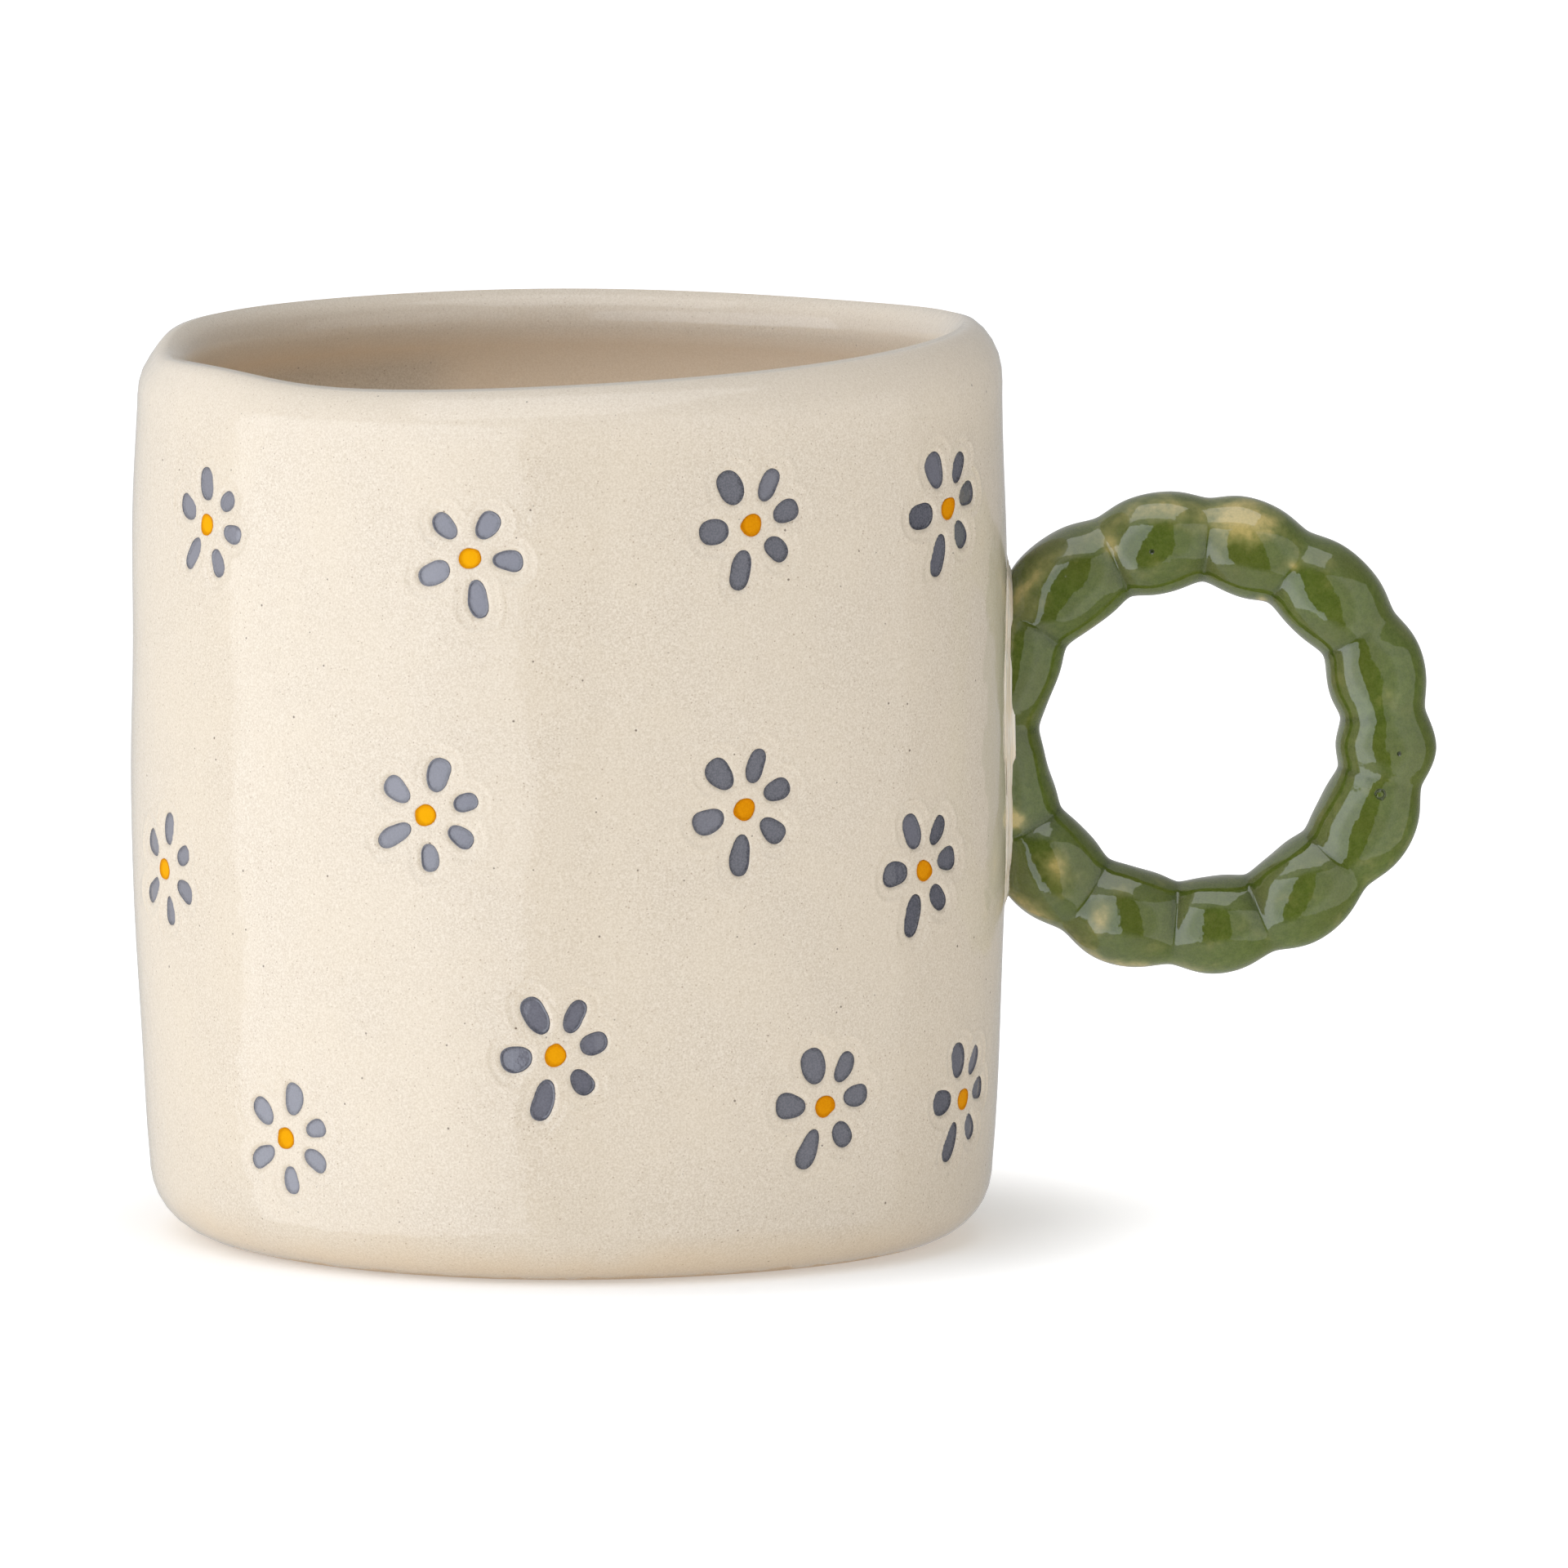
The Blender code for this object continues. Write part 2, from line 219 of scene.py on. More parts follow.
def lip_shape(azimuth, radius, z, reach):
    """The lip's own unevenness, within some mm of the crest: opposite the handle it leans out and dips."""
    near_crest = smooth((z - RIM_HEIGHT + reach) / reach)
    low = smooth((z - RIM_HEIGHT + OUTER_LIP_DROP) / OUTER_LIP_DROP)
    degrees = np.degrees(azimuth)
    lean = 0.95 * bell(degrees_from(degrees, 187), 34) + 0.3 * bell(degrees_from(degrees, 352), 30)
    crown = 0.45 * bell(degrees_from(degrees, 214), 13) - 0.95 * bell(degrees_from(degrees, 184), 15)
    return radius + lean * near_crest, z + crown * low


def wall_points(azimuth, z, proud):
    """Points (mm) of the outer wall, at a height before settling, standing proud by some mm."""
    radius = outer_radius(z) + wall_dents(azimuth, z) - WALL_INSET + proud
    return settled(azimuth, radius, z)


def smooth(x):
    x = np.clip(x, 0, 1)
    return x * x * (3 - 2 * x)


# ---------------------------------------------------------------- flowers
def flower_places():
    """(azimuth, height before settling) of every flower, from the CAD's own centres."""
    places = []
    for number in range(1, len(FLOWERS) + 1):
        low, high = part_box(f"flower_{number:02d}_centre")
        x, y, z = [(a + b) / 2 / MM for a, b in zip(low, high)]
        azimuth = math.atan2(y, x)
        height = z
        for _ in range(20):
            fade = max(0.0, (height - RIM_WAVES_START) / (RIM_HEIGHT - RIM_WAVES_START)) ** 2
            height = z - fade * float(wave_sum(RIM_WAVES, azimuth))
        places.append((azimuth, height))
    return places


def flower_petals():
    """Each flower's petals, with the small differences of handwork.

    A petal is (direction, reach, length, width, taper, phase of its wobble, thinness of its paint).
    """
    rng = np.random.default_rng(11)
    flowers = []
    for stamp, turn, tone in FLOWERS:
        petals = []
        for direction, reach, length, width in STAMPS[stamp]:
            petals.append((
                math.radians(direction + turn + rng.uniform(-2, 2)),
                reach + rng.uniform(-0.08, 0.08),
                length * rng.uniform(0.93, 1.02),
                width * rng.uniform(0.89, 0.99),
                rng.uniform(0.04, 0.20),
                rng.uniform(0, 2 * math.pi),
                float(np.clip(tone + rng.choice([-0.1, 0.0, 0.1, 0.45], p=[0.35, 0.3, 0.2, 0.15]), 0, 1)),
            ))
        flowers.append(petals)
    return flowers


PLACES = flower_places()
PETALS = flower_petals()


def petal_rho(u, v, petal):
    """(rho, below 1 inside the petal's outline; the distance in mm inward from that outline)."""
    direction, reach, length, width, taper, phase, _ = petal
    a = u * math.cos(direction) + v * math.sin(direction) - reach
    b = -u * math.sin(direction) + v * math.cos(direction)
    la, lb = length / 2, width / 2
    grow = 1 + taper * np.clip(a / la, -1.2, 1.2)
    angle = np.arctan2(b, a)
    wobble = 1 + 0.035 * np.cos(2 * angle + phase) + 0.03 * np.cos(3 * angle + 2.3 * phase)
    pa, pb = a / (la * wobble), b / (lb * grow * wobble)
    pa, pb = np.abs(pa) + 1e-9, np.abs(pb) + 1e-9
    rho = (pa**BLUNT + pb**BLUNT) ** (1 / BLUNT)
    slope = np.hypot(pa ** (BLUNT - 1) / la, pb ** (BLUNT - 1) / (lb * grow)) / rho ** (BLUNT - 1)
    return rho, (1 - rho) / np.clip(slope, 0.05, None)


def stamp_inward(u, v, number):
    """How far (mm) a point lies inside the nearest petal's outline, negative outside it."""
    deepest = np.full(u.shape, -9.0)
    for petal in PETALS[number]:
        deepest = np.maximum(deepest, petal_rho(u, v, petal)[1])
    return deepest


def stamp_depth(u, v, number):
    """(Depth in mm of the stamped wall at (u, v) from the flower's middle; distance inside its colours)."""
    deepest = stamp_inward(u, v, number)
    from_middle = np.hypot(u, v)
    stamp = np.maximum(deepest, MIDDLE_RADIUS - from_middle)
    depth = RECESS * smooth((deepest + 0.24) / 0.40)
    depth = depth + CENTRE_RECESS * smooth((CENTRE_RADIUS + 0.12 - from_middle) / 0.45)
    depth = depth + HALO_STEP * smooth((stamp + HALO + 0.15) / 0.35)
    ridge = HALO_RIDGE * bell(stamp + HALO + 0.22, 0.17)
    return depth - ridge, np.maximum(deepest, CENTRE_RADIUS - from_middle)


# ---------------------------------------------------------------- meshes
def new_object(name, points, faces, material):
    mesh = bpy.data.meshes.new(name)
    mesh.from_pydata([tuple(p) for p in np.asarray(points) * MM], [], faces)
    mesh.validate()
    work = bmesh.new()
    work.from_mesh(mesh)
    bmesh.ops.recalc_face_normals(work, faces=work.faces)
    work.to_mesh(mesh)
    work.free()
    mesh.shade_smooth()
    mesh.materials.append(material)
    obj = bpy.data.objects.new(name, mesh)
    bpy.context.scene.collection.objects.link(obj)
    return obj


def point_attribute(obj, name, values):
    layer = obj.data.attributes.new(name, "FLOAT", "POINT")
    layer.data.foreach_set("value", np.asarray(values, dtype=np.float32))


def disc_faces(rings, around):
    """Faces of a disc: point 0 in the middle, then rings + 1 rings of points."""
    faces = [(0, 1 + i, 1 + (i + 1) % around) for i in range(around)]
    for k in range(rings):
        one, two = 1 + k * around, 1 + (k + 1) * around
        faces += [(one + i, two + i, two + (i + 1) % around, one + (i + 1) % around) for i in range(around)]
    return faces


def torus_faces(rows, around):
    """Faces between closed rings of points, the last ring joined to the first."""
    faces = []
    for k in range(rows):
        one, two = k * around, (k + 1) % rows * around
        faces += [(one + i, two + i, two + (i + 1) % around, one + (i + 1) % around) for i in range(around)]
    return faces


def resample(profile, count):
    """count + 1 points evenly spaced along a (radius, z) polyline."""
    profile = np.asarray(profile)
    run = np.concatenate([[0], np.cumsum(np.hypot(*np.diff(profile, axis=0).T))])
    at = np.linspace(0, run[-1], count + 1)
    return np.stack([np.interp(at, run, profile[:, 0]), np.interp(at, run, profile[:, 1])], axis=1)


def arc(centre, radii, start, end, steps=40):
    angles = np.radians(np.linspace(start, end, steps + 1))
    return [(centre[0] + radii[0] * math.cos(a), centre[1] + radii[1] * math.sin(a)) for a in angles]


def outside_profile():
    lip = arc((CREST_RADIUS, LIP_BASE), (float(outer_radius(LIP_BASE)) - CREST_RADIUS, OUTER_LIP_DROP), 90, 0)
    wall = [(float(outer_radius(z)), z) for z in np.linspace(LIP_BASE, FOOT_CORNER, 120)[1:-1]]
    corner_width = float(outer_radius(FOOT_CORNER)) - FOOT_RADIUS
    return lip + wall + arc((FOOT_RADIUS, FOOT_CORNER), (corner_width, FOOT_CORNER), 0, -90)


def inside_profile():
    """From the crest down to the middle of the inner floor."""
    base = RIM_HEIGHT - INNER_LIP_DROP
    lip = arc((CREST_RADIUS, base), (CREST_RADIUS - INNER_LIP_RADIUS, INNER_LIP_DROP), 90, 180)
    # the wall is hollowed a little right under the lip, and comes back to its radius lower down
    hollow = INNER_RADIUS + 0.4
    hollow_drop, return_drop = 2.2, 22
    opening = hollow - INNER_LIP_RADIUS
    closing = INNER_RADIUS - hollow
    steps = np.linspace(0, 1, 9)[1:]
    under = [(INNER_LIP_RADIUS + opening * smooth(t), base - hollow_drop * t) for t in steps]
    under += [(hollow + closing * smooth(t), base - hollow_drop - return_drop * t) for t in steps]
    corner_middle = (INNER_RADIUS - INNER_CORNER, FLOOR_THICKNESS + INNER_CORNER)
    corner = arc(corner_middle, (INNER_CORNER, INNER_CORNER), 0, -90)
    return lip + under + corner + [(0.4, FLOOR_THICKNESS)]


COLUMNS = 216
ROWS = 74
FINE = 5
INSIDE_ROWS = 56


def make_body(material):
    fine_columns = COLUMNS * FINE
    outside = resample(outside_profile(), ROWS * FINE)
    azimuths = np.arange(fine_columns) * 2 * math.pi / fine_columns
    # cells near a flower are split FINE times each way
    rows_mid = outside[FINE // 2::FINE][:ROWS, 1]
    cols_mid = azimuths[FINE // 2::FINE]
    split = np.zeros((ROWS, COLUMNS), dtype=bool)
    for number, (azimuth, height) in enumerate(PLACES):
        dv, du = np.meshgrid(rows_mid - height, wrapped(cols_mid - azimuth) * BELLY_RADIUS, indexing="ij")
        near = np.hypot(du, dv) < FLOWER_REACH + 0.1
        in_middle = MIDDLE_RADIUS - np.hypot(du, dv)[near]
        near[near] = np.maximum(stamp_inward(du[near], dv[near], number), in_middle) > -(HALO + 1.2)
        split |= near
    used = np.zeros((ROWS * FINE + 1, fine_columns), dtype=bool)
    used[::FINE, ::FINE] = True
    for row, col in zip(*np.nonzero(split)):
        cols = np.arange(col * FINE, (col + 1) * FINE + 1) % fine_columns
        used[row * FINE:(row + 1) * FINE + 1, cols] = True
    index = np.full(used.shape, -1)
    rows, cols = np.nonzero(used)
    index[rows, cols] = np.arange(len(rows))
    azimuth = azimuths[cols]
    radius = outside[rows, 0]
    z = outside[rows, 1]
    on_wall = smooth((z - 3.5) / 3.5) * smooth((RIM_HEIGHT - 1.5 - z) / 5.0)
    radius = radius + (wall_dents(azimuth, z) - WALL_INSET) * on_wall
    for number, (az0, z0) in enumerate(PLACES):
        u = wrapped(azimuth - az0) * BELLY_RADIUS
        v = z - z0
        near = np.hypot(u, v) < FLOWER_REACH
        depth, inward = stamp_depth(u[near], v[near], number)
        # deeper under the colours, which cover it
        radius[near] -= (depth + 0.14 * smooth(inward / 0.35)) * on_wall[near]
    radius, z = lip_shape(azimuth, radius, z, 1.4)
    points = settled(azimuth, radius, z)
    faces = []
    for row in range(ROWS):
        for col in range(COLUMNS):
            r0, c0 = row * FINE, col * FINE
            if split[row, col]:
                for r in range(r0, r0 + FINE):
                    for c in range(c0, c0 + FINE):
                        a, b = c % fine_columns, (c + 1) % fine_columns
                        faces.append((index[r, a], index[r + 1, a], index[r + 1, b], index[r, b]))
                continue
            ring = [(r0 + i, c0) for i in range(FINE)] + [(r0 + FINE, c0 + j) for j in range(FINE)]
            ring += [(r0 + FINE - i, c0 + FINE) for i in range(FINE)]
            ring += [(r0, c0 + FINE - j) for j in range(FINE)]
            corners = [index[r, c % fine_columns] for r, c in ring]
            faces.append(tuple(int(k) for k in corners if k >= 0))
    # inside, from the crest down to the middle of the floor, and the underside
    points = list(points)
    coarse = np.arange(COLUMNS) * 2 * math.pi / COLUMNS

    def add_rings(profile, previous, close):
        for r, height in profile:
            start = len(points)
            swell = r + 0.10 * smooth((height - 12) / 20) * np.cos(5 * coarse + 0.11 * height + 1.0)
            swell, level = lip_shape(coarse, swell, np.full(COLUMNS, height), 5.0)
            points.extend(settled(coarse, swell, level))
            ring = [start + i for i in range(COLUMNS)]
            for i in range(COLUMNS):
                j = (i + 1) % COLUMNS
                faces.append((previous[i], previous[j], ring[j], ring[i]))
            previous = ring
        faces.append(tuple(previous) if close else tuple(reversed(previous)))

    crest = [int(index[0, c * FINE]) for c in range(COLUMNS)]
    foot = [int(index[ROWS * FINE, c * FINE]) for c in range(COLUMNS)]
    add_rings(resample(inside_profile(), INSIDE_ROWS)[1:], crest, True)
    under = [(FOOT_RADIUS * t, 0.0) for t in (0.97, 0.9, 0.75, 0.5, 0.25, 0.05)]
    add_rings(under, foot, False)
    body = new_object("glazed_mug_body", points, faces, material)
    x, y, z = np.array(points).T
    from_axis = np.hypot(x, y)
    deep = smooth((INNER_LIP_RADIUS + 2.4 - from_axis) / 0.6) * smooth((RIM_HEIGHT - 2.6 - z) / 2.0)
    point_attribute(body, "inside", deep * (z > FLOOR_THICKNESS / 2))
    # green glaze has run a little way onto the wall on both sides of the handle
    turn = np.degrees(np.abs(np.arctan2(y, x)))
    beside = np.minimum((BLEED_ANGLE - turn) / 8, np.minimum(z - BLEED_LOW, BLEED_HIGH - z) / 9)
    point_attribute(body, "bleed", np.clip(beside, 0, 1) * (from_axis > MID_WALL_RADIUS))
    return body


def petal_patch(number, petal, rings=8, around=40):
    """Points, inward distances and faces of one petal's colour, lying in its stamped recess."""
    az0, z0 = PLACES[number]
    direction, reach = petal[:2]
    angle = np.arange(around) * 2 * math.pi / around
    cos, sin = math.cos(direction), math.sin(direction)

    def place(far):
        a, b = far * np.cos(angle), far * np.sin(angle)
        return (reach + a) * cos - b * sin, (reach + a) * sin + b * cos

    # how far the outline is from the petal's middle, each way round, by halving
    low, high = np.full(around, 0.05), np.full(around, 4.0)
    for _ in range(24):
        far = (low + high) / 2
        inside = petal_rho(*place(far), petal)[0] < 1
        low, high = np.where(inside, far, low), np.where(inside, high, far)
    us, vs, sink = [reach * cos], [reach * sin], [0.0]
    steps = [(i / rings) ** 0.8 for i in range(1, rings + 1)] + [1.03]
    for rho in steps:
        u, v = place(far * rho)
        us.extend(u)
        vs.extend(v)
        sink.extend([0.28 if rho > 1 else 0.0] * around)
    u, v = np.array(us), np.array(vs)
    inward = petal_rho(u, v, petal)[1]
    depth, _ = stamp_depth(u, v, number)
    proud = 0.03 - depth - np.array(sink)
    points = wall_points(az0 + u / BELLY_RADIUS, z0 + v, proud)
    return points, inward, disc_faces(rings, around)


def make_petals(number, material):
    points, inward, thinness, faces = [], [], [], []
    for petal in PETALS[number]:
        p, s, f = petal_patch(number, petal)
        start = len(points)
        points.extend(p)
        inward.extend(s)
        thinness.extend([petal[-1]] * len(p))
        faces.extend(tuple(start + k for k in face) for face in f)
    obj = new_object(f"flower_{number + 1:02d}_blue_grey_glaze", points, faces, material)
    point_attribute(obj, "inward", inward)
    point_attribute(obj, "thinness", thinness)
    return obj


def make_centre(number, material, rings=6, around=32):
    """The yellow spot: a slightly domed drop in its own shallow recess."""
    az0, z0 = PLACES[number]
    rng = np.random.default_rng(100 + number)
    p1, p2, tip = rng.uniform(0, 2 * math.pi, 3)
    us, vs, proud = [0.0], [0.0], [0.0]
    for rho in [i / rings for i in range(1, rings + 1)] + [1.05]:
        for i in range(around):
            angle = 2 * math.pi * i / around
            wobble = 0.05 * math.cos(2 * angle + p1) + 0.03 * math.cos(3 * angle + p2)
            radius = CENTRE_RADIUS * (1 + wobble + 0.12 * float(bell(wrapped(angle - tip), 0.35)))
            us.append(rho * radius * math.cos(angle))
            vs.append(rho * radius * math.sin(angle))
            proud.append(0.0 if rho <= 1 else -0.25)
    u, v = np.array(us), np.array(vs)
    depth, _ = stamp_depth(u, v, number)
    rho = np.hypot(u, v) / CENTRE_RADIUS
    proud = np.array(proud) - depth + 0.04 + 0.07 * np.clip(1 - rho * rho, 0, 1)
    points = wall_points(az0 + u / BELLY_RADIUS, z0 + v, proud)
    obj = new_object(f"flower_{number + 1:02d}_yellow_glaze", points, disc_faces(rings, around), material)
    point_attribute(obj, "inward", CENTRE_RADIUS - np.hypot(u, v))
    point_attribute(obj, "thinness", [FLOWERS[number][2]] * len(points))
    return obj


# ---------------------------------------------------------------- handle
def wall_x(y, z):
    """X (mm) of the outer wall near the handle, at settled (y, z)."""
    azimuth = np.arctan2(y, np.full_like(y, BELLY_RADIUS))
    for _ in range(4):
        p = wall_points(azimuth, z, 0.0)
        azimuth = azimuth + (y - p[..., 1]) / BELLY_RADIUS
    return wall_points(azimuth, z, 0.0)[..., 0]


def make_handle(material, around=72, per_bead=44):
    count = per_bead * len(GROOVES)
    ends = GROOVES[1:] + (GROOVES[0] + 360,)
    theta, t_bead, bead_of = [], [], []
    for bead, (a, b) in enumerate(zip(GROOVES, ends)):
        for i in range(per_bead):
            t = i / per_bead
            theta.append(math.radians(a + (b - a) * t))
            t_bead.append(t)
            bead_of.append(bead)
    theta, t_bead, bead_of = np.array(theta), np.array(t_bead), np.array(bead_of)
    span = np.array([b - a for a, b in zip(GROOVES, ends)])[bead_of]
    pinch = np.array(PINCH)
    here = np.where(t_bead < 0.5, pinch[bead_of], pinch[(bead_of + 1) % len(GROOVES)])
    phi = np.arange(around) * 2 * math.pi / around
    T, P = np.meshgrid(theta, phi, indexing="ij")
    tb = t_bead[:, None]
    edge = np.minimum(tb, 1 - tb) * np.radians(span)[:, None]
    outer = np.cos(P)  # 1 away from the ring's middle, -1 towards the finger hole
    front = np.sin(P)
    power = SECTION_POWER
    base = 1 / (np.abs(outer) ** power + np.abs(front) ** power) ** (1 / power)
    near = np.sqrt(np.minimum(tb, 1 - tb) ** 2 + 0.045**2)
    valley = bell(edge * RING_RADIUS, VALLEY_WIDTH)
    lobe = 1 - 0.60 * (1 - np.sin(np.pi * np.minimum(near, 0.5))) - 0.38 * valley
    drop = np.where(outer > 0, 0.50 + 0.50 * outer, 0.50 + 0.15 * np.abs(outer))
    rad = SECTION_RADIUS - drop * (1 - lobe)
    mm_from_groove = edge * (RING_RADIUS + 4.0 * outer)
    # the grooves are pinched in on both faces of the ring
    facing = sum(bell(wrapped(P - math.radians(side)), math.radians(38)) for side in (108, 252))
    crease = here[:, None] * facing * (0.35 * bell(mm_from_groove, 0.30) + 0.65 * bell(mm_from_groove, 1.0))
    rad = rad - CREASE_DEPTH * crease
    wob = 0.10 * np.cos(3 * T + 2 * P + 0.4) + 0.09 * np.cos(7 * T - P + 2.1) + 0.06 * np.cos(13 * T + 3 * P)
    rad = rad + wob - RING_INSET
    r_out = RING_RADIUS + rad * base * outer
    y = -rad * base * front * SECTION_FLATTENING
    x = RING_X + r_out * np.cos(T)
    z = RING_Z + r_out * np.sin(T)
    x = np.maximum(x, wall_x(y, z) + GLAZE_CLEARANCE)
    points = np.stack([x, y, z], axis=-1).reshape(-1, 3)
    obj = new_object("glazed_ring_handle", points, torus_faces(count, around), material)
    # the thin places sit a little further round on the back
    deg = np.degrees(T) + np.where(front < -0.2, 5, 0)
    thin = np.zeros_like(P)
    for angle, side, length, width, strength in THIN:
        along = degrees_from(deg, angle) * math.radians(RING_RADIUS)
        thin += strength * bell(along, length) * bell((outer - side) * 5, width)
    point_attribute(obj, "thin", thin.reshape(-1))
    in_hole = np.clip(-outer + 0.2, 0, 1)
    pool = np.clip(crease * 1.2 + 0.9 * bell(mm_from_groove, 0.45) * in_hole, 0, 1)
    point_attribute(obj, "pool", pool.reshape(-1))
    return obj


def make_lute(material, around=160, steps=18):
    """Cream slip drawn up from the wall onto the ring, combed along its length."""
    rng = np.random.default_rng(5)
    phase = rng.uniform(0, 2 * math.pi, 4)
    points = []
    for k in range(steps + 1):
        s = k / steps
        half_w = 6.9 - 2.6 * smooth(s)
        half_h = 17.6 - 1.9 * smooth(s)
        angle = np.arange(around) * 2 * math.pi / around
        c, sn = np.cos(angle), np.sin(angle)
        y = half_w * np.sign(c) * np.abs(c) ** 0.8
        z = RING_Z + half_h * np.sign(sn) * np.abs(sn) ** 0.85
        ragged = 0.35 * np.cos(5 * angle + phase[0]) + 0.25 * np.cos(9 * angle + phase[1])
        ragged = ragged + 0.18 * np.cos(17 * angle + phase[2])
        y = y + ragged * c * (1 - s)
        z = z + ragged * sn * (1 - s)
        comb = 0.07 * np.cos(9 * s * 2 * math.pi / 1.6 + 0.8 * np.cos(3 * angle + phase[3]))
        proud = 0.06 + 0.9 * (1 - math.cos(s * math.pi / 2)) + comb * math.sin(math.pi * s)
        x = wall_x(y, z) + proud
        points.append(np.stack([x, y, z], axis=-1))
    flat = wall_x(points[-1][:, 1], points[-1][:, 2])
    back = points[0].copy()
    back[:, 0] = wall_x(back[:, 1], back[:, 2]) - 0.25
    points = [back] + points
    inner = points[-1].copy()
    inner[:, 0] = flat + 0.3
    points.append(inner)
    faces = torus_faces(len(points), around)
    return new_object("combed_slip_joint", np.concatenate(points), faces, material)


# ---------------------------------------------------------------- materials
class Nodes:
    """A short way to write a node material: coordinates are in mm."""

    def __init__(self, name):
        self.material = bpy.data.materials.new(name)
        self.material.use_nodes = True
        self.tree = self.material.node_tree
        self.shader = self.tree.nodes["Principled BSDF"]
        coords = self.add("ShaderNodeTexCoord")
        scale = self.add("ShaderNodeVectorMath", operation="SCALE")
        scale.inputs["Scale"].default_value = 1 / MM
        self.link(coords.outputs["Object"], scale.inputs[0])
        self.mm = scale.outputs[0]

    def add(self, kind, **settings):
        node = self.tree.nodes.new(kind)
        for key, value in settings.items():
            setattr(node, key, value)
        return node

    def link(self, source, target):
        self.tree.links.new(source, target)

    def noise(self, scale, detail=2.0, roughness=0.5, stretch=None):
        node = self.add("ShaderNodeTexNoise")
        node.inputs["Scale"].default_value = scale
        node.inputs["Detail"].default_value = detail
        node.inputs["Roughness"].default_value = roughness
        if stretch:
            squeeze = self.add("ShaderNodeVectorMath", operation="MULTIPLY")
            squeeze.inputs[1].default_value = stretch
            self.link(self.mm, squeeze.inputs[0])
            self.link(squeeze.outputs[0], node.inputs["Vector"])
        else:
            self.link(self.mm, node.inputs["Vector"])
        return node.outputs["Fac"]

    def ramp(self, value, low, high, out_low=0.0, out_high=1.0):
        node = self.add("ShaderNodeMapRange", interpolation_type="SMOOTHSTEP")
        node.inputs["From Min"].default_value = low
        node.inputs["From Max"].default_value = high
        node.inputs["To Min"].default_value = out_low
        node.inputs["To Max"].default_value = out_high
        self.link(value, node.inputs["Value"])
        return node.outputs["Result"]

    def math(self, operation, a, b=None):
        node = self.add("ShaderNodeMath", operation=operation)
        for socket, value in zip(node.inputs, (a, b)):
            if value is None:
                continue
            if isinstance(value, (int, float)):
                socket.default_value = value
            else:
                self.link(value, socket)
        return node.outputs[0]

    def mix(self, factor, a, b):
        node = self.add("ShaderNodeMix", data_type="RGBA")
        for socket, value in ((node.inputs["Factor"], factor), (node.inputs[6], a), (node.inputs[7], b)):
            if isinstance(value, (int, float)):
                socket.default_value = value
            elif isinstance(value, tuple):
                socket.default_value = (*value, 1)
            else:
                self.link(value, socket)
        return node.outputs[2]

    def attribute(self, name):
        return self.add("ShaderNodeAttribute", attribute_name=name).outputs["Fac"]

    def height(self):
        node = self.add("ShaderNodeSeparateXYZ")
        self.link(self.mm, node.inputs[0])
        return node.outputs["Z"]

    def specks(self, scale, size, share, offset=0.0):
        """Round specks: 1 inside a speck. Only a share of the cells hold one."""
        node = self.add("ShaderNodeTexVoronoi")
        node.inputs["Scale"].default_value = scale
        shift = self.add("ShaderNodeVectorMath", operation="ADD")
        shift.inputs[1].default_value = (offset, offset * 1.7, offset * 0.6)
        self.link(self.mm, shift.inputs[0])
        self.link(shift.outputs[0], node.inputs["Vector"])
        split = self.add("ShaderNodeSeparateColor")
        self.link(node.outputs["Color"], split.inputs[0])
        chosen = self.math("LESS_THAN", split.outputs[0], share)
        radius = self.ramp(split.outputs[1], 0, 1, size * 0.5, size)
        inside = self.math("SUBTRACT", radius, node.outputs["Distance"])
        soft = self.ramp(inside, 0, size * 0.5)
        return self.math("MULTIPLY", soft, chosen)

    def bump(self, height, distance_mm, after=None):
        node = self.add("ShaderNodeBump")
        node.inputs["Strength"].default_value = 1.0
        node.inputs["Distance"].default_value = distance_mm * MM
        self.link(height, node.inputs["Height"])
        if after is not None:
            self.link(after, node.inputs["Normal"])
        return node.outputs[0]

    def surface(self, colour, roughness, normal=None, ior=1.5):
        self.link(colour, self.shader.inputs["Base Color"])
        if isinstance(roughness, (int, float)):
            self.shader.inputs["Roughness"].default_value = roughness
        else:
            self.link(roughness, self.shader.inputs["Roughness"])
        self.shader.inputs["IOR"].default_value = ior
        if normal is not None:
            self.link(normal, self.shader.inputs["Normal"])
        return self.material


